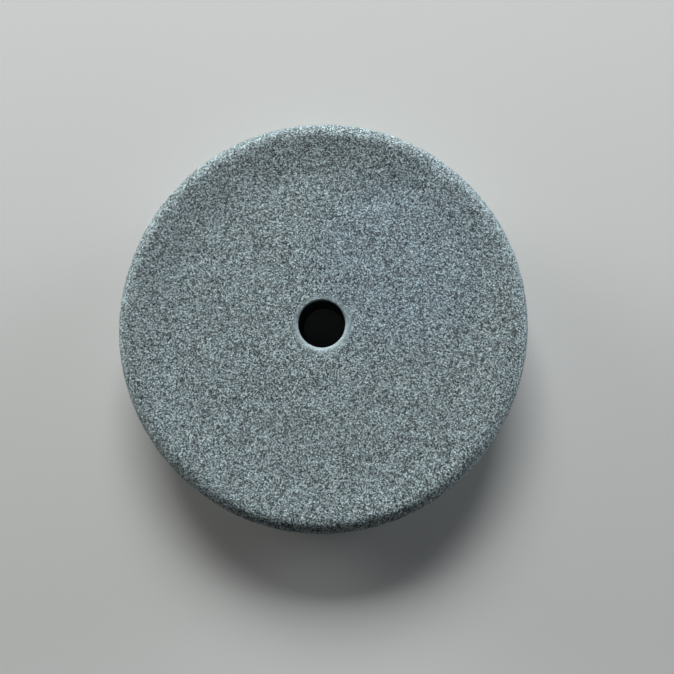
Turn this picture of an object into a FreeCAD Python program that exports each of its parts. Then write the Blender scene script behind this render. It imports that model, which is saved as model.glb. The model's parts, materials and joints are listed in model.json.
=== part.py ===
import FreeCAD, Part
import math
import os

# A foam polishing pad for a random-orbital car polisher: a round open-cell foam disc, glued
# by a thin film to the loop fabric that the machine's hook plate grips. The pad lies on that
# fabric with its working face up.
#
# Millimetres. +Z is the pad's axis and points out of the working face. The origin is the
# centre of the fabric's underside, which is what the pad rests on.

# Driving dimensions
pad_diameter = 150.0       # the widest line of the foam
pad_thickness = 25.0       # loop tips to working face
backing_diameter = 135.0   # smaller than the face, so that the foam overhangs the hook plate
bore_diameter = 16.0       # the centring hole, punched through every layer
shoulder_radius = 6.2      # rounding from the working face to the side
lip_radius = 1.5           # rounding from the working face into the bore

# The three layers under the foam, from the bottom up
loop_pile_height = 1.2
knit_thickness = 0.5
film_thickness = 0.3

pad_radius = pad_diameter / 2.0
backing_radius = backing_diameter / 2.0
bore_radius = bore_diameter / 2.0
knit_bottom = loop_pile_height
film_bottom = knit_bottom + knit_thickness
foam_bottom = film_bottom + film_thickness


def point(radius, height):
    """A point of a half section, which lies in the XZ plane."""
    return FreeCAD.Vector(radius, 0.0, height)


def turned(edges):
    """The solid that a closed half section sweeps round the pad's axis."""
    section = Part.Face(Part.Wire(edges))
    return section.revolve(point(0.0, 0.0), FreeCAD.Vector(0.0, 0.0, 1.0), 360.0)


def arc_point(centre, radius, angle):
    """The point of an arc whose normal stands at an angle above the horizontal."""
    return point(centre.x + radius * math.cos(angle), centre.z + radius * math.sin(angle))


def ring(bottom, thickness):
    """A flat layer as wide as the backing, with the centring hole through it."""
    corners = [
        point(bore_radius, bottom),
        point(backing_radius, bottom),
        point(backing_radius, bottom + thickness),
        point(bore_radius, bottom + thickness),
    ]
    return turned([Part.LineSegment(a, b).toShape() for a, b in zip(corners, corners[1:] + corners[:1])])


def foam_body():
    """The foam disc. Its side leaves the shoulder on the tangent that meets the backing's edge."""
    base_outer = point(backing_radius, foam_bottom)
    base_inner = point(bore_radius, foam_bottom)

    shoulder = point(pad_radius - shoulder_radius, pad_thickness - shoulder_radius)
    to_base = base_outer - shoulder
    base_angle = math.atan2(to_base.z, to_base.x)
    side_angle = base_angle + math.acos(shoulder_radius / to_base.Length)
    face_outer = arc_point(shoulder, shoulder_radius, math.pi / 2.0)
    side_top = arc_point(shoulder, shoulder_radius, side_angle)
    shoulder_middle = arc_point(shoulder, shoulder_radius, (math.pi / 2.0 + side_angle) / 2.0)

    lip = point(bore_radius + lip_radius, pad_thickness - lip_radius)
    face_inner = arc_point(lip, lip_radius, math.pi / 2.0)
    lip_middle = arc_point(lip, lip_radius, 3.0 * math.pi / 4.0)
    bore_top = arc_point(lip, lip_radius, math.pi)

    return turned([
        Part.LineSegment(base_inner, base_outer).toShape(),
        Part.LineSegment(base_outer, side_top).toShape(),
        Part.Arc(side_top, shoulder_middle, face_outer).toShape(),
        Part.LineSegment(face_outer, face_inner).toShape(),
        Part.Arc(face_inner, lip_middle, bore_top).toShape(),
        Part.LineSegment(bore_top, base_inner).toShape(),
    ])


def adhesive_film():
    """The melted film that bonds the fabric to the foam."""
    return ring(film_bottom, film_thickness)


def backing_knit():
    """The knitted ground of the loop fabric, which carries the loops."""
    return ring(knit_bottom, knit_thickness)


def loop_pile():
    """The layer of standing loops, as the closed solid that their tips fill."""
    return ring(0.0, loop_pile_height)


parts = {
    "foam_body": foam_body(),
    "adhesive_film": adhesive_film(),
    "backing_knit": backing_knit(),
    "loop_pile": loop_pile(),
}

os.makedirs("parts", exist_ok=True)
for name, shape in parts.items():
    shape.exportStep("parts/" + name + ".step")
    box = shape.optimalBoundingBox()
    print(name, "valid", shape.isValid(), "solids", len(shape.Solids), "volume", round(shape.Volume, 1))
    print("    from z", round(box.ZMin, 2), "to", round(box.ZMax, 2), "and", round(box.XLength, 2), "across")
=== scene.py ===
import json
import math

import bpy
import numpy as np
from mathutils import Matrix, Vector


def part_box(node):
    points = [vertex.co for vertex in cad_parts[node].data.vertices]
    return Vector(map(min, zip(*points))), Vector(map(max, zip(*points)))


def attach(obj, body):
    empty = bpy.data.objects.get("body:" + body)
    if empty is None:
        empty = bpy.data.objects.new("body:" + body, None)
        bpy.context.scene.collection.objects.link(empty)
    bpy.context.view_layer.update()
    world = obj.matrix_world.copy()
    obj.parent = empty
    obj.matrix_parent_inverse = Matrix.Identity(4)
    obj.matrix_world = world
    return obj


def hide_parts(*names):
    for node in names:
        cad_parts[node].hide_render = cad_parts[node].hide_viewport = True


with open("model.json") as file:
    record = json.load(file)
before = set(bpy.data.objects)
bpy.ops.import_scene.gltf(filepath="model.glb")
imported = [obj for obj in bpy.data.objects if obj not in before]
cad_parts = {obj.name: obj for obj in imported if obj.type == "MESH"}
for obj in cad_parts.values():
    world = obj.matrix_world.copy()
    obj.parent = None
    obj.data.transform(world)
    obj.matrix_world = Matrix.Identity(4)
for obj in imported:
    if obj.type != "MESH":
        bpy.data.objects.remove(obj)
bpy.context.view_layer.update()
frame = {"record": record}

mm = 0.001
tiny = 0.001 * mm

# sizes that every piece shares, read off the CAD nodes and the bore's mount
foamLow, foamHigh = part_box("foam_body")
filmLow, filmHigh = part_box("adhesive_film")
knitLow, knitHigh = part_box("backing_knit")
padRadius = foamHigh.x
topZ = foamHigh.z
backRadius = knitHigh.x
boreMount = next(mount for mount in frame["record"]["mounts"] if mount["name"] == "centre_bore")
boreRadius = boreMount["dims"]["r_mm"] * mm
print("frame loaded, pad", round(padRadius * 2 / mm, 1), "mm across,", round(topZ / mm, 1), "mm thick")

# each use of the random numbers has a salt of its own, so that no two repeat each other
salts = {
    "bubbles": 0,
    "shake": 11,
    "waveLong": 21,
    "waveShort": 22,
    "outline": 31,
    "blisters": 40,
    "beadLong": 51,
    "beadShort": 52,
    "fray": 61,
    "loops": 70,
}


def meshFrom(name, points, faces):
    # points is an (n, 3) array, faces an (m, 3) or (m, 4) array of point numbers
    mesh = bpy.data.meshes.new(name)
    count, sides = faces.shape
    mesh.vertices.add(len(points))
    mesh.vertices.foreach_set("co", points.astype(np.float32).ravel())
    mesh.loops.add(count * sides)
    mesh.loops.foreach_set("vertex_index", faces.astype(np.int32).ravel())
    mesh.polygons.add(count)
    mesh.polygons.foreach_set("loop_start", np.arange(0, count * sides, sides, dtype=np.int32))
    mesh.polygons.foreach_set("use_smooth", np.full(count, True))
    mesh.update(calc_edges=True)
    mesh.validate()
    piece = bpy.data.objects.new(name, mesh)
    bpy.context.scene.collection.objects.link(piece)
    return piece


def hashed(cells, salt):
    # a repeatable random number from 0 to 1 for each whole-number cell: its numbers are mixed by
    # large odd factors and shifts, and the lowest bits are taken as a share
    x = cells.astype(np.int64)
    h = x[..., 0] * 73856093 ^ x[..., 1] * 19349663 ^ x[..., 2] * 83492791 ^ salt * 2654435761
    h = (h ^ (h >> 13)) * 1274126177 & 0x7FFFFFFF
    h = (h ^ (h >> 11)) * 1103515245 & 0x7FFFFFFF
    return ((h ^ (h >> 15)) & 0xFFFFF) / float(0x100000)


def softNoise(points, size, salt):
    # value noise from -1 to 1: random numbers on a lattice, blended smoothly between its corners
    p = points / size
    base = np.floor(p)
    f = p - base
    f = f * f * (3.0 - 2.0 * f)
    total = np.zeros(len(points))
    for corner in np.ndindex(2, 2, 2):
        c = np.array(corner)
        weight = np.prod(np.where(c == 1, f, 1.0 - f), axis=1)
        total += weight * hashed(base + c, salt)
    return total * 2.0 - 1.0


def eased(x, low, high):
    # 0 at low, 1 at high, 3t^2 - 2t^3 between them and constant past them; low may be the larger
    t = np.clip((x - low) / (high - low), 0.0, 1.0)
    return t * t * (3.0 - 2.0 * t)


ringSettings = {
    "fewest": 24,       # points in the smallest ring
    "start": 1.35,      # spacing round the bore, in edges
    "widest": 1.42,     # spacing past which a ring has twice the points, in edges
}


def ringCounts(radii, edge):
    # points in each ring: the bore's count, doubled as often as the ring's spacing asks for
    s = ringSettings
    coarse = max(s["fewest"], round(2 * math.pi * boreRadius / edge / s["start"]))
    doublings = np.maximum(0, np.ceil(np.log2(2 * math.pi * radii / (coarse * edge * s["widest"]))))
    return (coarse * 2 ** doublings).astype(int)


def band(a, n, b, m):
    # triangles between ring a of n points and ring b of m: every coarse point has a fan to its
    # share of the fine ring, and one triangle on to the next coarse point
    fine, coarse = max(n, m), min(n, m)
    share = fine // coarse
    i = np.arange(fine)
    own, following = i // share, (i + 1) % fine
    c = np.arange(coarse)
    if n <= m:
        fan = np.stack([a + own, b + i, b + following], 1)
        gap = np.stack([a + c, b + (c + 1) % coarse * share, a + (c + 1) % coarse], 1)
    else:
        fan = np.stack([b + own, a + following, a + i], 1)
        gap = np.stack([b + c, b + (c + 1) % coarse, a + (c + 1) % coarse * share], 1)
    return [fan, gap]


def turned(line, normal, counts):
    # a closed half section turned round the axis: point (r, z) becomes (r cos a, r sin a, z) at
    # evenly spaced angles a, and each ring is joined to the next, and the last to the first
    starts = np.concatenate([[0], np.cumsum(counts)])
    ring = np.repeat(np.arange(len(counts)), counts)
    angle = 2 * math.pi * (np.arange(starts[-1]) - starts[ring]) / counts[ring]
    c, s = np.cos(angle), np.sin(angle)
    points = np.stack([line[ring, 0] * c, line[ring, 0] * s, line[ring, 1]], 1)
    normals = np.stack([normal[ring, 0] * c, normal[ring, 0] * s, normal[ring, 1]], 1)
    faces = []
    for k in range(len(counts)):
        j = (k + 1) % len(counts)
        faces += band(starts[k], counts[k], starts[j], counts[j])
    return points, normals, np.concatenate(faces)


def straight(a, b, edge):
    # evenly spaced points from a up to, but not at, b, with the normal on the line's left
    count = max(1, round(np.hypot(*(b - a)) / edge))
    t = np.linspace(0.0, 1.0, count, endpoint=False)[:, None]
    step = (b - a) / np.hypot(*(b - a))
    return a + (b - a) * t, np.tile([-step[1], step[0]], (count, 1))


def arc(centre, radius, start, end, edge):
    # points on a circle from one angle up to, but not at, another, with normals straight out
    count = max(4, round(abs(end - start) * radius / edge))
    t = np.linspace(start, end, count, endpoint=False)
    out = np.stack([np.cos(t), np.sin(t)], 1)
    return centre + out * radius, out


def section(stretches):
    # the points and normals of a half section, from its stretches one after another
    return [np.concatenate(arrays) for arrays in zip(*stretches)]


foamSettings = {
    "edge": 0.36 * mm,          # spacing of the surface's points
    "coverEdge": 6 * mm,        # spacing on the flat that the film covers
    "shoulder": 6.2 * mm,       # rounding of the working edge
    "lip": 1.5 * mm,            # rounding into the bore
    "lipSharp": 0.65,           # share by which it is sharper on its far side
    "lipSharpSide": (-0.1, 0.7),  # from the near side to the far one, as y over the radius
    "shake": 0.5,               # how unevenly the points are spread, as a share of their spacing
    "shakeCell": 0.05 * mm,
    "footFade": 4,              # height over which the relief fades in above the foot, in edges
    "cell": 0.52 * mm,          # spacing of the foam's bubbles
    "bubble": (0.30, 0.62),     # smallest and largest bubble radius, as a share of the spacing
    "jitter": 0.42,             # how far a bubble strays from its place, as a share of the spacing
    "depth": 0.28,              # share of a cut bubble's real depth that is kept
    "depthMost": 0.13 * mm,
    "calm": 0.6,                # share by which the bubbles are shallower close to the bore
    "calmReach": (4.5 * mm, 2 * mm),
    "blister": 7.0 * mm,        # spacing of the few large bubbles
    "blisterSize": (-0.09, 0.085),  # below 0 there is none
    "blisterDepth": 0.6,
    "blisterMost": 0.6 * mm,
    "blisterFacing": (0.7, 0.95),   # only where the surface faces up: z of its normal
    "wave": 0.045 * mm,         # slow unevenness of the cut
    "waveLong": 14 * mm,
    "waveShort": 5 * mm,
    "waveShortShare": 0.4,
    "waveInset": 1.4,           # keeps the crests inside the nominal surface, in waves
    "oval": 0.40 * mm,          # how far the outline swells and draws in
    "ovalAngle": 68.0,          # degrees, the wider way across
    "wander": 0.25 * mm,        # slow wandering of the outline
    "wanderSize": 0.55,         # on a circle of radius 1
    "ovalHeight": (4 * mm, 14 * mm),
    "ovalReach": (0.4, 0.95),   # as shares of the pad's radius
    "dish": 1.00 * mm,          # how far the middle of the face lies below its rim
    "dishLean": 0.5,            # share by which the dish is deeper on its far side
    "dishFrom": 54 * mm,
    "dishTo": 75 * mm,
    "dishFacing": (0.2, 0.9),   # the side of the pad isn't lowered with the face: z of its normal
    "dishInner": (0.2, 0.6),    # but the bore's wall is: shares of the pad's radius
    "dent": 0.24 * mm,          # an old pressure mark: the step down inside a round edge
    "dentCentre": (4.4 * mm, 103 * mm),
    "dentRadius": 63 * mm,
    "dentStep": 1.6 * mm,
    "dentFade": 13 * mm,        # how soon the foam has come back inside the mark
    "dentEnd": (2 * mm, 12 * mm),
    "sag": 0.70 * mm,           # the face draws down into the bore on its near side
    "sagReach": 4.5 * mm,
    "reliefDepth": (10 * mm, 3 * mm),   # below the face, where the lowering fades in
    "boreShift": (-0.38 * mm, 0.27 * mm),  # the top of the bore leans a little to one side
    "boreFlare": 0.50 * mm,     # and stands a little open
    "boreHeight": (8 * mm, 20 * mm),
    "boreReach": 14 * mm,
}


def foamProfile(s):
    # closed half section: up the bore, over the lip and the face, round the shoulder, down the
    # drawn-in side to the foot, and back along the flat that the film covers
    shoulder = np.array([padRadius - s["shoulder"], topZ - s["shoulder"]])
    lip = np.array([boreRadius + s["lip"], topZ - s["lip"]])
    foot = np.array([backRadius, foamLow.z])
    heel = np.array([boreRadius, foamLow.z])
    reach = foot - shoulder
    sideAngle = math.atan2(reach[1], reach[0]) + math.acos(s["shoulder"] / np.hypot(*reach))
    sideTop = shoulder + s["shoulder"] * np.array([math.cos(sideAngle), math.sin(sideAngle)])
    edge = s["edge"]
    return section([
        straight(heel, np.array([boreRadius, lip[1]]), edge),
        arc(lip, s["lip"], math.pi, math.pi / 2, edge),
        straight(np.array([lip[0], topZ]), np.array([shoulder[0], topZ]), edge),
        arc(shoulder, s["shoulder"], math.pi / 2, sideAngle, edge),
        straight(sideTop, foot, edge),
        straight(foot, heel, s["coverEdge"]),
    ])


def sharpened(points, s):
    # the lip is cut sharper on its far side: its points draw in toward the corner (boreRadius,
    # topZ) by a share that eases from 0 on the near side to lipSharp on the far side
    radius = np.hypot(points[:, 0], points[:, 1])
    out, down = radius - boreRadius, topZ - points[:, 2]
    onLip = (out < s["lip"] + tiny) & (down < s["lip"] + tiny)
    share = s["lipSharp"] * eased(points[:, 1] / radius, *s["lipSharpSide"])
    keep = np.where(onLip, 1.0 - share, 1.0)
    scale = (boreRadius + out * keep) / radius
    return np.stack([points[:, 0] * scale, points[:, 1] * scale, topZ - down * keep], 1)


def shaken(points, normals, free, s):
    # the points are moved a little along the surface, so that the rings don't show
    cells = np.round(points / s["shakeCell"])
    shake = np.stack([hashed(cells, salts["shake"] + k) for k in range(3)], 1) - 0.5
    shake -= np.einsum("ij,ij->i", shake, normals)[:, None] * normals
    return points + shake * (s["shake"] * s["edge"] * free)[:, None]


def bubbleDepth(points, normals, cellSize, sizes, jitter, salt):
    # how far a point moves in along its normal to reach the far wall of the bubble that it
    # lies in: the larger root of |p - t n - centre| = radius, over a jittered lattice
    home = np.floor(points / cellSize)
    small, large = (x * cellSize for x in sizes)
    deep = np.zeros(len(points))
    for shift in np.ndindex(3, 3, 3):
        cell = home + np.array(shift) - 1
        offset = np.stack([hashed(cell, salt + k) for k in (1, 2, 3)], 1) * 2 - 1
        away = points - (cell + 0.5 + jitter * offset) * cellSize
        radius = np.maximum(small + (large - small) * hashed(cell, salt + 4), 0.0)
        along = np.einsum("ij,ij->i", away, normals)
        inside = along ** 2 - np.einsum("ij,ij->i", away, away) + radius ** 2
        t = along + np.sqrt(np.maximum(inside, 0.0))
        deep = np.maximum(deep, np.where(inside > 0, t, 0.0))
    return deep


def cutDepth(points, normals, s):
    # depth of the open bubbles: many fine ones, shallower close to the bore, and a few blisters
    radius = np.hypot(points[:, 0], points[:, 1])
    calmFrom, calmTo = s["calmReach"]
    calm = 1.0 - s["calm"] * eased(radius, boreRadius + calmFrom, boreRadius + calmTo)
    fine = bubbleDepth(points, normals, s["cell"], s["bubble"], s["jitter"], salts["bubbles"])
    fine = s["depthMost"] * np.tanh(fine * s["depth"] * calm / s["depthMost"])
    large = bubbleDepth(points, normals, s["blister"], s["blisterSize"], s["jitter"], salts["blisters"])
    large = s["blisterDepth"] * np.minimum(large, s["blisterMost"])
    return np.maximum(fine, large * eased(normals[:, 2], *s["blisterFacing"]))


def outlineSwell(points, s):
    # out of round: the radius grows by oval cos 2(a - ovalAngle) plus slow noise, fully on the
    # upper half of the side and not at all at the foot and round the bore, whose top is shifted
    angle = np.arctan2(points[:, 1], points[:, 0])
    turn = np.stack([np.cos(angle), np.sin(angle), np.zeros(len(points))], 1)
    swell = s["oval"] * np.cos(2 * (angle - math.radians(s["ovalAngle"])))
    swell += s["wander"] * softNoise(turn, s["wanderSize"], salts["outline"])
    high = eased(points[:, 2], *s["ovalHeight"])
    radius = np.hypot(points[:, 0], points[:, 1])
    outerFrom, outerTo = s["ovalReach"]
    outer = eased(radius, outerFrom * padRadius, outerTo * padRadius)
    inner = eased(points[:, 2], *s["boreHeight"])
    inner = inner * (1.0 - eased(radius, boreRadius, boreRadius + s["boreReach"]))
    lean = np.array([*s["boreShift"], 0.0]) + turn * s["boreFlare"]
    return turn * (swell * high * outer)[:, None] + lean * inner[:, None]


def faceRelief(points, normals, s):
    # height lost by the face: a shallow dish, one old round pressure mark that steps down at its
    # edge and comes back slowly inside, and the sag into the bore
    radius = np.hypot(points[:, 0], points[:, 1])
    drop = s["dish"] * (1.0 - eased(radius, s["dishFrom"], s["dishTo"]))
    drop *= 1.0 + s["dishLean"] * points[:, 1] / padRadius
    x, y = points[:, 0] - s["dentCentre"][0], points[:, 1] - s["dentCentre"][1]
    inward = s["dentRadius"] - np.hypot(x, y)
    mark = eased(inward, 0.0, s["dentStep"]) * (1.0 - eased(inward, s["dentStep"], s["dentFade"]))
    mark *= eased(points[:, 0], *s["dentEnd"])
    drop += s["dent"] * mark
    near = 0.5 - 0.5 * points[:, 1] / radius
    sag = s["sag"] * near * np.clip(1.0 - (radius - boreRadius) / s["sagReach"], 0.0, 1.0) ** 2
    innerFrom, innerTo = s["dishInner"]
    inner = 1.0 - eased(radius, innerFrom * padRadius, innerTo * padRadius)
    facing = np.maximum(eased(normals[:, 2], *s["dishFacing"]), inner)
    low, high = s["reliefDepth"]
    return (drop * facing + sag) * eased(points[:, 2], topZ - low, topZ - high)


def makeFoam(s):
    line, normal = foamProfile(s)
    points, normals, faces = turned(line, normal, ringCounts(line[:, 0], s["edge"]))
    points = sharpened(points, s)
    # 0 at the foot, which stays where it is, and 1 a little above it
    free = eased(points[:, 2], foamLow.z + s["edge"], foamLow.z + s["footFade"] * s["edge"])
    points = shaken(points, normals, free, s)
    slow = softNoise(points, s["waveLong"], salts["waveLong"]) * s["wave"]
    slow += softNoise(points, s["waveShort"], salts["waveShort"]) * s["wave"] * s["waveShortShare"]
    lift = slow - s["wave"] * s["waveInset"] - cutDepth(points, normals, s)
    move = normals * (lift * free)[:, None] + outlineSwell(points, s)
    move[:, 2] -= faceRelief(points, normals, s)
    piece = meshFrom("foam_pad", points + move, faces)
    print("foam:", len(points), "points,", len(faces), "triangles")
    return piece


filmSettings = {
    "bead": 0.22 * mm,       # how far the squeezed-out line stands proud of the backing's edge
    "uneven": 0.16 * mm,
    "unevenLong": 2.4 * mm,
    "unevenShort": 0.8 * mm,
    "unevenShortShare": 0.5,
    "around": 720,           # points round each ring
    "edge": 0.12 * mm,
    "flatEdge": 6 * mm,
}


def makeFilm(s):
    # a flat ring between foam and knit whose two rims swell into a rounded, uneven bead
    mid = (filmLow.z + filmHigh.z) / 2
    half = (filmHigh.z - filmLow.z) / 2
    top, bottom = mid + half, mid - half
    line, normal = section([
        arc(np.array([boreRadius, mid]), half, 1.5 * math.pi, 0.5 * math.pi, s["edge"]),
        straight(np.array([boreRadius, top]), np.array([backRadius, top]), s["flatEdge"]),
        arc(np.array([backRadius, mid]), half, 0.5 * math.pi, -0.5 * math.pi, s["edge"]),
        straight(np.array([backRadius, bottom]), np.array([boreRadius, bottom]), s["flatEdge"]),
    ])
    points, normals, faces = turned(line, normal, np.full(len(line), s["around"]))
    sideways = np.hypot(normals[:, 0], normals[:, 1])
    swell = s["bead"] - half + s["uneven"] * softNoise(points, s["unevenLong"], salts["beadLong"])
    short = softNoise(points, s["unevenShort"], salts["beadShort"])
    swell += s["uneven"] * s["unevenShortShare"] * short
    piece = meshFrom("adhesive_line", points + normals * (swell * sideways)[:, None], faces)
    print("film:", len(faces), "triangles")
    return piece


knitSettings = {
    "edge": 0.5 * mm,        # spacing of the points on the underside
    "wallEdge": 0.17 * mm,
    "topEdge": 4 * mm,
    "wale": 1.5 * mm,        # width of a column of stitches
    "course": 1.0 * mm,      # height of a row of stitches
    "slant": 0.9,            # how far a row bends down across a wale, in courses per wale
    "relief": 0.16 * mm,
    "fray": 0.14 * mm,       # unevenness of the cut edges
    "fraySize": 0.9 * mm,
}


def stitches(x, y, s):
    # height of the knit from 0 to 1: chevrons whose rows bend down from the middle of each wale
    across = x / s["wale"] - np.floor(x / s["wale"]) - 0.5
    rows = np.cos(2 * math.pi * (y / s["course"] + s["slant"] * np.abs(across)))
    return np.cos(math.pi * across) ** 0.5 * (0.5 + 0.5 * rows)


def makeKnit(s):
    # a thin ring of cloth: its underside carries the stitches, its top lies on the film
    low, high = knitLow.z + s["relief"], knitHigh.z
    places = [(boreRadius, low), (boreRadius, high), (backRadius, high), (backRadius, low)]
    corners = [np.array(place) for place in places]
    edges = (s["wallEdge"], s["topEdge"], s["wallEdge"], s["edge"])
    line, normal = section([straight(a, b, e) for a, b, e in zip(corners, corners[1:] + corners[:1], edges)])
    points, normals, faces = turned(line, normal, ringCounts(line[:, 0], s["edge"]))
    under = normals[:, 2] < -0.5
    rim = np.hypot(normals[:, 0], normals[:, 1])
    points[:, 2] -= under * s["relief"] * stitches(points[:, 0], points[:, 1], s)
    points += normals * (rim * s["fray"] * softNoise(points, s["fraySize"], salts["fray"]))[:, None]
    piece = meshFrom("knit_ground", points, faces)
    print("knit:", len(faces), "triangles")
    return piece


loopSettings = {
    "pitch": 1.62 * mm,
    "rowStep": 0.866,        # from one row of the lattice to the next, in pitches
    "rowSpare": 1.2,         # rows for each column that the ring needs, with some to spare
    "stray": 0.5,            # range of a loop's offset from its place, in pitches
    "width": 1.0 * mm,
    "widthDraw": (0.75, 0.45),   # share of the width that every loop has, and that chance adds
    "heightDraw": (0.72, 0.28),  # the same for its height
    "leanDraw": (-0.5, 1.6),     # and for its lean
    "lean": 0.55,            # sideways drift of a loop's top, as a share of its height
    "belly": 0.25,           # widens a loop away from its feet
    "crown": 0.8,            # below 1, the loop's end is flatter than a sine
    "twist": 1.9,            # radians, range of the loops' directions
    "swirl": 0.3,            # radians, slow drift of the direction over the ring
    "swirlX": 9 * mm,
    "swirlY": 7 * mm,
    "thread": 0.085 * mm,    # radius
    "clear": 1.15,           # room for the thread under the lowest loop, in thread radii
    "rooted": 0.06 * mm,     # how deep a loop's feet stand in the knit
    "along": 6,              # points along a loop
    "round": 3,              # points round the thread
}


def loopPlaces(s):
    # a jittered hexagonal lattice of points on the ring, with six random numbers for each
    n = int(backRadius / s["pitch"]) + 2
    rows = int(n * s["rowSpare"])
    i, j = (grid.ravel() for grid in np.meshgrid(np.arange(-n, n + 1), np.arange(-rows, rows + 1)))
    key = np.stack([i, j, 0 * i], 1)
    rand = np.stack([hashed(key, salts["loops"] + k) for k in range(6)])
    x = (i + 0.5 * (j % 2) + s["stray"] * (rand[0] - 0.5)) * s["pitch"]
    y = (j * s["rowStep"] + s["stray"] * (rand[1] - 0.5)) * s["pitch"]
    far = np.hypot(x, y)
    keep = (far > boreRadius + 0.5 * s["width"]) & (far < backRadius - 0.5 * s["width"])
    return x[keep], y[keep], rand[:, keep]


def loopPaths(x, y, rand, s):
    # an arch of height h and width w hangs from each place: u = -w/2 cos t (1 + belly sin t) and
    # drop = h (sin t)^crown, leaning sideways as it drops; flank is level and across the arch
    turn = (rand[2] - 0.5) * s["twist"]
    turn = turn + s["swirl"] * np.sin(x / s["swirlX"]) + s["swirl"] * np.cos(y / s["swirlY"])
    least, spare = s["heightDraw"]
    height = (knitLow.z - s["thread"] * s["clear"]) * (least + spare * rand[3])
    least, spare = s["widthDraw"]
    width = s["width"] * (least + spare * rand[4])
    least, spare = s["leanDraw"]
    lean = s["lean"] * (rand[5] * spare + least)
    t = np.linspace(0.0, math.pi, s["along"])[None]
    u = -0.5 * width[:, None] * np.cos(t) * (1.0 + s["belly"] * np.sin(t))
    drop = height[:, None] * np.sin(t) ** s["crown"]
    v = lean[:, None] * drop
    c, sn = np.cos(turn)[:, None], np.sin(turn)[:, None]
    z = knitLow.z + s["rooted"] - drop
    path = np.stack([x[:, None] + u * c - v * sn, y[:, None] + u * sn + v * c, z], 2)
    flank = np.stack([-sn + 0 * u, c + 0 * u, 0 * u], 2)
    return path, flank


def loopTubes(path, flank, s):
    # a thin closed tube along each path: its rings of points, and their triangles with end caps
    ahead = np.gradient(path, axis=1)
    ahead /= np.linalg.norm(ahead, axis=2, keepdims=True)
    up = np.cross(ahead, flank)
    up /= np.linalg.norm(up, axis=2, keepdims=True)
    side = np.cross(up, ahead)
    sides = s["round"]
    a = (2 * math.pi * np.arange(sides) / sides)[None, None, :, None]
    tube = path[:, :, None] + s["thread"] * (np.cos(a) * side[:, :, None] + np.sin(a) * up[:, :, None])
    each = s["along"] * sides
    k, r = np.meshgrid(np.arange(s["along"] - 1), np.arange(sides), indexing="ij")
    p0 = (k * sides + r).ravel()
    p1 = (k * sides + (r + 1) % sides).ravel()
    lower = np.stack([p0, p1, p1 + sides], 1)
    upper = np.stack([p0, p1 + sides, p0 + sides], 1)
    caps = [[2, 1, 0], [each - 3, each - 2, each - 1]]
    one = np.concatenate([lower, upper, caps])
    faces = one[None] + (np.arange(len(path)) * each)[:, None, None]
    return tube.reshape(-1, 3), faces.reshape(-1, 3)


def makeLoops(s):
    x, y, rand = loopPlaces(s)
    path, flank = loopPaths(x, y, rand, s)
    points, faces = loopTubes(path, flank, s)
    piece = meshFrom("nylon_loops", points, faces)
    print("loops:", len(x), "loops,", len(faces), "triangles")
    return piece


def newMaterial(name):
    material = bpy.data.materials.new(name)
    material.use_nodes = True
    tree = material.node_tree
    return material, tree, tree.nodes["Principled BSDF"]


def node(tree, kind, inputs=(), **settings):
    # adds a node, sets its properties, and fills its sockets with values or links
    made = tree.nodes.new(kind)
    for key, value in settings.items():
        setattr(made, key, value)
    for key, value in dict(inputs).items():
        if isinstance(value, bpy.types.NodeSocket):
            tree.links.new(value, made.inputs[key])
        else:
            made.inputs[key].default_value = value
    return made


def mathNode(tree, operation, a, b=0.0):
    return node(tree, "ShaderNodeMath", {0: a, 1: b}, operation=operation).outputs[0]


def product(tree, first, *others):
    for other in others:
        first = mathNode(tree, "MULTIPLY", first, other)
    return first


def distance(tree, x, y):
    squares = mathNode(tree, "ADD", product(tree, x, x), product(tree, y, y))
    return mathNode(tree, "SQRT", squares)


def mapped(tree, value, low, high, toLow, toHigh, smooth=True):
    kind = "SMOOTHSTEP" if smooth else "LINEAR"
    ends = {"From Min": low, "From Max": high, "To Min": toLow, "To Max": toHigh}
    made = node(tree, "ShaderNodeMapRange", {"Value": value, **ends}, interpolation_type=kind)
    return made.outputs["Result"]


# the stretch of a noise texture's output that most of it falls in
noiseSpan = (0.3, 0.7)


def noise(tree, place, size, detail=2.0):
    inputs = {"Vector": place, "Scale": 1.0 / size, "Detail": detail}
    return node(tree, "ShaderNodeTexNoise", inputs).outputs["Fac"]


def blend(tree, factor, a, b):
    return node(tree, "ShaderNodeMix", {0: factor, 2: a, 3: b}, data_type="FLOAT").outputs[0]


def tinted(tree, colour, shade):
    # a colour times a grey that varies
    channels = {"Red": shade, "Green": shade, "Blue": shade}
    grey = node(tree, "ShaderNodeCombineColor", channels).outputs["Color"]
    hue = colour if isinstance(colour, bpy.types.NodeSocket) else (*colour, 1.0)
    made = node(tree, "ShaderNodeMix", {0: 1.0, 6: hue, 7: grey}, data_type="RGBA", blend_type="MULTIPLY")
    return made.outputs[2]


def bumped(tree, shader, strength, depth, height):
    bump = node(tree, "ShaderNodeBump", {"Strength": strength, "Distance": depth, "Height": height})
    tree.links.new(bump.outputs["Normal"], shader.inputs["Normal"])


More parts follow.
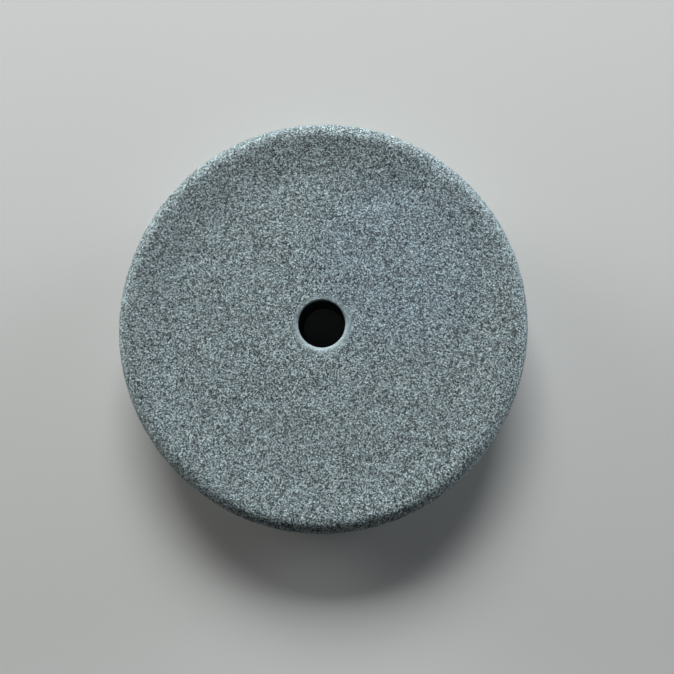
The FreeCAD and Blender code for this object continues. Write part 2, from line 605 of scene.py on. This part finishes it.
foamLook = {
    "colour": (0.198, 0.236, 0.239),
    "paintedBlueLight": (0.196, 0.240, 0.256),   # painted light: a faintly bluer patch of the face, where bluish light falls
    "paintedBlueLightCentre": (28 * mm, 24 * mm),
    "paintedBlueLightReach": (20 * mm, 44 * mm),
    "cell": 0.34 * mm,
    "strut": (0.02, 0.05),   # where the cell walls begin to fade and end, as shares of a cell
    "poreGrainAndShade": (0.02, 3.6),     # tone of the deepest and of the shallowest cell: partly the foam's grain and partly painted shade, darker in the deeper hollows
    "poreBias": 2.2,         # above 1, more of the cells are dark than light
    "wall": 1.3,             # tone of the cell walls
    "rimEvenAndPaintedLight": 1.4,          # partly real and partly painted light: the lip is closed by its cut and smoother, and lighter as painted light that the rounded lip catches
    "rimMost": 0.75,
    "rimReach": (1.0 * mm, 3.6 * mm),
    "fuzzSize": 0.2 * mm,
    "fuzz": (0.75, 1.25),    # fine unevenness of the tone
    "fuzzSpan": (0.25, 0.75),
    "driftSize": 9 * mm,
    "drift": (0.975, 1.025),  # slow unevenness of the tone
    "band": 0.13,            # painted shade: how much darker the outer ring is on its far left side
    "bandSide": (-0.5, 0.87),
    "bandReach": 50 * mm,
    "bandInner": (48 * mm, 62 * mm),
    "bandOuter": (68 * mm, 72 * mm),
    "borePaintedShade": 0.15,        # painted shade: the bore's wall is darkened down inside the hole, where little light reaches
    "boreReach": (1.2 * mm, 1.8 * mm),
    "boreDepth": (4.6 * mm, 3.2 * mm),
    "bump": 0.20 * mm,
    "bumpStrength": 0.7,
    "pickRelief": 0.4,       # how much the cells differ in height, as a share of the walls
    "rough": (0.96, 0.84),   # in the cells and on their walls
    "specular": 0.25,
}


def foamGrain(tree, place, s):
    # cut cells, each with a tone of its own, and the walls between them with one tone; the cells' tones are
    # partly grain and partly painted shade, as the darker ones are also the lower ones in the bump
    bubbles = {"Vector": place, "Scale": 1.0 / s["cell"], "Randomness": 1.0}
    cells = node(tree, "ShaderNodeTexVoronoi", bubbles).outputs["Color"]
    wall = node(tree, "ShaderNodeTexVoronoi", bubbles, feature="DISTANCE_TO_EDGE").outputs["Distance"]
    strut = mapped(tree, wall, *s["strut"], 1.0, 0.0)
    pick = node(tree, "ShaderNodeSeparateColor", {"Color": cells}).outputs["Red"]
    biased = mathNode(tree, "POWER", pick, s["poreBias"])
    poreGrainAndShade = mapped(tree, biased, 0.0, 1.0, *s["poreGrainAndShade"], smooth=False)
    return strut, pick, blend(tree, strut, poreGrainAndShade, s["wall"])


def paintedBoreShade(tree, radius, z, s):
    # 1 on the face, and painted shade inside the bore below its lip: the wall's colour is darkened there,
    # where little light reaches down the hole
    reachFrom, reachTo = s["boreReach"]
    within = mapped(tree, radius, boreRadius + reachFrom, boreRadius + reachTo, 1.0, 0.0)
    deepest, highest = s["boreDepth"]
    below = mapped(tree, z, topZ - deepest, topZ - highest, 1.0, 0.0)
    return blend(tree, product(tree, within, below), 1.0, s["borePaintedShade"])


def paintedBandShade(tree, radius, x, y, s):
    # 1 over most of the face, and painted shade, darker, in an outer ring on the far left side
    sideX, sideY = s["bandSide"]
    toward = mathNode(tree, "ADD", product(tree, y, sideY), product(tree, x, sideX))
    side = mapped(tree, toward, 0.0, s["bandReach"], 0.0, 1.0)
    inner = mapped(tree, radius, *s["bandInner"], 0.0, 1.0)
    outer = mapped(tree, radius, *s["bandOuter"], 1.0, 0.0)
    return blend(tree, product(tree, side, inner, outer), 1.0, 1.0 - s["band"])


def foamHue(tree, x, y, s):
    # the foam's colour, with a patch of painted bluish light blended in
    centreX, centreY = s["paintedBlueLightCentre"]
    patchX = mathNode(tree, "SUBTRACT", x, centreX)
    patchY = mathNode(tree, "SUBTRACT", y, centreY)
    paintedBlueLight = mapped(tree, distance(tree, patchX, patchY), *s["paintedBlueLightReach"], 1.0, 0.0)
    hues = {0: paintedBlueLight, 6: (*s["colour"], 1.0), 7: (*s["paintedBlueLight"], 1.0)}
    return node(tree, "ShaderNodeMix", hues, data_type="RGBA").outputs[2]


def foamMaterial(s):
    material, tree, shader = newMaterial("foam")
    place = node(tree, "ShaderNodeTexCoord").outputs["Object"]
    parts = node(tree, "ShaderNodeSeparateXYZ", {"Vector": place}).outputs
    x, y, z = parts["X"], parts["Y"], parts["Z"]
    radius = distance(tree, x, y)
    strut, pick, grain = foamGrain(tree, place, s)
    # painted light round the lip: the grain there is blended toward one lighter, even tone
    rimFrom, rimTo = s["rimReach"]
    rim = mapped(tree, radius, boreRadius + rimFrom, boreRadius + rimTo, s["rimMost"], 0.0)
    grain = blend(tree, rim, grain, s["rimEvenAndPaintedLight"])
    fine = noise(tree, place, s["fuzzSize"], detail=1.0)
    fuzz = mapped(tree, fine, *s["fuzzSpan"], *s["fuzz"], smooth=False)
    drift = mapped(tree, noise(tree, place, s["driftSize"], detail=3.0), *noiseSpan, *s["drift"])
    # painted shade down the bore
    bore = paintedBoreShade(tree, radius, z, s)
    shade = product(tree, grain, fuzz, drift, bore, paintedBandShade(tree, radius, x, y, s))
    tree.links.new(tinted(tree, foamHue(tree, x, y, s), shade), shader.inputs["Base Color"])
    tree.links.new(mapped(tree, strut, 0.0, 1.0, *s["rough"]), shader.inputs["Roughness"])
    relief = mathNode(tree, "ADD", strut, product(tree, pick, s["pickRelief"]))
    relief = product(tree, relief, mathNode(tree, "SUBTRACT", 1.0, rim))
    bumped(tree, shader, s["bumpStrength"], s["bump"], relief)
    shader.inputs["Specular IOR Level"].default_value = s["specular"]
    return material


filmLook = {
    "colour": (0.50, 0.44, 0.33),
    "cloudSize": 1.3 * mm,
    "cloud": (0.72, 1.2),
    "roughSize": 0.5 * mm,
    "rough": (0.28, 0.5),
    "bumpSize": 0.6 * mm,
    "bump": 0.1 * mm,
    "bumpStrength": 0.4,
}


def filmMaterial(s):
    material, tree, shader = newMaterial("melted_adhesive")
    place = node(tree, "ShaderNodeTexCoord").outputs["Object"]
    cloudy = mapped(tree, noise(tree, place, s["cloudSize"], detail=3.0), *noiseSpan, *s["cloud"])
    tree.links.new(tinted(tree, s["colour"], cloudy), shader.inputs["Base Color"])
    rough = mapped(tree, noise(tree, place, s["roughSize"]), *noiseSpan, *s["rough"])
    tree.links.new(rough, shader.inputs["Roughness"])
    bumped(tree, shader, s["bumpStrength"], s["bump"], noise(tree, place, s["bumpSize"]))
    return material


yarnLook = {
    "knit": ((0.040, 0.042, 0.047), 3.0),   # colour, and plies of a thread
    "loops": ((0.060, 0.063, 0.070), 5.0),
    "ply": (0.75, 1.2),      # tones across the plies of a thread
    "hairSize": 0.12 * mm,   # the fine filaments
    "hair": (0.75, 1.25),
    "patchSize": 2.2 * mm,
    "patch": (0.75, 1.3),
    "rough": (0.5, 0.72),
    "bump": 0.05 * mm,
    "bumpStrength": 0.5,
    "sheen": 0.25,
    "sheenRough": 0.45,
}


def yarnMaterial(name, knit, s):
    # dark polyamide: plies that follow the chevrons of the knit, and fine filaments
    colour, plies = s[name]
    material, tree, shader = newMaterial(name)
    place = node(tree, "ShaderNodeTexCoord").outputs["Object"]
    parts = node(tree, "ShaderNodeSeparateXYZ", {"Vector": place}).outputs
    within = mathNode(tree, "FRACT", mathNode(tree, "DIVIDE", parts["X"], knit["wale"]))
    across = mathNode(tree, "ABSOLUTE", mathNode(tree, "SUBTRACT", within, 0.5))
    down = mathNode(tree, "DIVIDE", parts["Y"], knit["course"])
    row = mathNode(tree, "ADD", down, product(tree, across, knit["slant"]))
    ply = mathNode(tree, "SINE", product(tree, row, 2 * math.pi * plies))
    hair = noise(tree, place, s["hairSize"])
    plyTone = mapped(tree, ply, -1.0, 1.0, *s["ply"])
    patchTone = mapped(tree, noise(tree, place, s["patchSize"]), *noiseSpan, *s["patch"])
    hairTone = mapped(tree, hair, *noiseSpan, *s["hair"])
    shade = product(tree, plyTone, patchTone, hairTone)
    tree.links.new(tinted(tree, colour, shade), shader.inputs["Base Color"])
    tree.links.new(mapped(tree, hair, *noiseSpan, *s["rough"]), shader.inputs["Roughness"])
    bumped(tree, shader, s["bumpStrength"], s["bump"], mathNode(tree, "ADD", hair, ply))
    shader.inputs["Sheen Weight"].default_value = s["sheen"]
    shader.inputs["Sheen Roughness"].default_value = s["sheenRough"]
    return material


lightSettings = [
    # name, azimuth and height in degrees, distance, width, height of the panel, watts, spread, colour
    ("window", 94.0, 30.0, 2.6, 1.7, 0.8, 104.0, 180.0, (0.92, 0.97, 1.0)),
    ("window_left", 147.0, 8.0, 2.2, 1.3, 0.34, 3.1, 40.0, (0.97, 1.0, 0.99)),
    ("window_right", 31.0, 8.0, 2.2, 1.3, 0.34, 2.8, 40.0, (0.84, 0.92, 1.0)),
    ("fill", 290.0, 6.0, 2.2, 1.4, 0.25, 0.30, 40.0, (1.0, 0.99, 0.97)),
]


def areaLight(name, azimuth, height, reach, wide, tall, power, spread, colour):
    lamp = bpy.data.lights.new(name, "AREA")
    lamp.shape = "RECTANGLE"
    lamp.size, lamp.size_y = wide, tall
    lamp.energy = power
    lamp.color = colour
    lamp.spread = math.radians(spread)
    light = bpy.data.objects.new(name, lamp)
    a, h = math.radians(azimuth), math.radians(height)
    out = Vector((math.cos(a) * math.cos(h), math.sin(a) * math.cos(h), math.sin(h)))
    light.location = out * reach + Vector((0.0, 0.0, topZ))
    light.rotation_euler = out.to_track_quat("Z", "Y").to_euler()
    light.visible_camera = False
    bpy.context.scene.collection.objects.link(light)


studioSettings = {
    "halfFloor": 4.0,
    "floor": (0.54, 0.525, 0.50, 1.0),
    "floorRough": 0.7,
    "room": (0.75, 0.85, 1.0, 1.0),
    "roomStrength": 0.02,
}


def studio(s):
    reach = s["halfFloor"]
    corners = np.array([[-reach, -reach, 0], [reach, -reach, 0], [reach, reach, 0], [-reach, reach, 0]])
    floor = meshFrom("floor", corners, np.array([[0, 1, 2, 3]]))
    material, tree, shader = newMaterial("pale_floor")
    shader.inputs["Base Color"].default_value = s["floor"]
    shader.inputs["Roughness"].default_value = s["floorRough"]
    floor.data.materials.append(material)
    world = bpy.data.worlds.new("room")
    world.use_nodes = True
    background = world.node_tree.nodes["Background"]
    background.inputs["Color"].default_value = s["room"]
    background.inputs["Strength"].default_value = s["roomStrength"]
    bpy.context.scene.world = world
    for row in lightSettings:
        areaLight(*row)


cameraSettings = {
    "distance": 0.2429,     # from the aim to the camera
    "tilt": 3.8,            # degrees from straight above
    "side": 279.0,          # degrees, the side that the camera leans out over, from +X towards +Y
    "aim": (0.0052, -0.0047),
    "lens": 36.3,
    "sensor": 36.0,
}


def camera(s):
    lens = bpy.data.cameras.new("camera")
    lens.lens = s["lens"]
    lens.sensor_width = s["sensor"]
    eye = bpy.data.objects.new("camera", lens)
    bpy.context.scene.collection.objects.link(eye)
    tilt, side = math.radians(s["tilt"]), math.radians(s["side"])
    aim = Vector((*s["aim"], topZ))
    back = Vector((math.sin(tilt) * math.cos(side), math.sin(tilt) * math.sin(side), math.cos(tilt)))
    eye.location = aim + back * s["distance"]
    up = (Vector((0.0, 1.0, 0.0)) - back * back.y).normalized()
    eye.rotation_mode = "QUATERNION"
    eye.rotation_quaternion = Matrix((up.cross(back), up, back)).transposed().to_quaternion()
    bpy.context.scene.camera = eye


def placed(piece, material, cadNode):
    piece.data.materials.append(material)
    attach(piece, "root")
    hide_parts(cadNode)


camera(cameraSettings)
studio(studioSettings)
bpy.context.scene.view_settings.view_transform = "Standard"
print("camera, floor and lights")

foam = makeFoam(foamSettings)
placed(foam, foamMaterial(foamLook), "foam_body")

film = makeFilm(filmSettings)
placed(film, filmMaterial(filmLook), "adhesive_film")

knit = makeKnit(knitSettings)
placed(knit, yarnMaterial("knit", knitSettings, yarnLook), "backing_knit")

loops = makeLoops(loopSettings)
placed(loops, yarnMaterial("loops", knitSettings, yarnLook), "loop_pile")
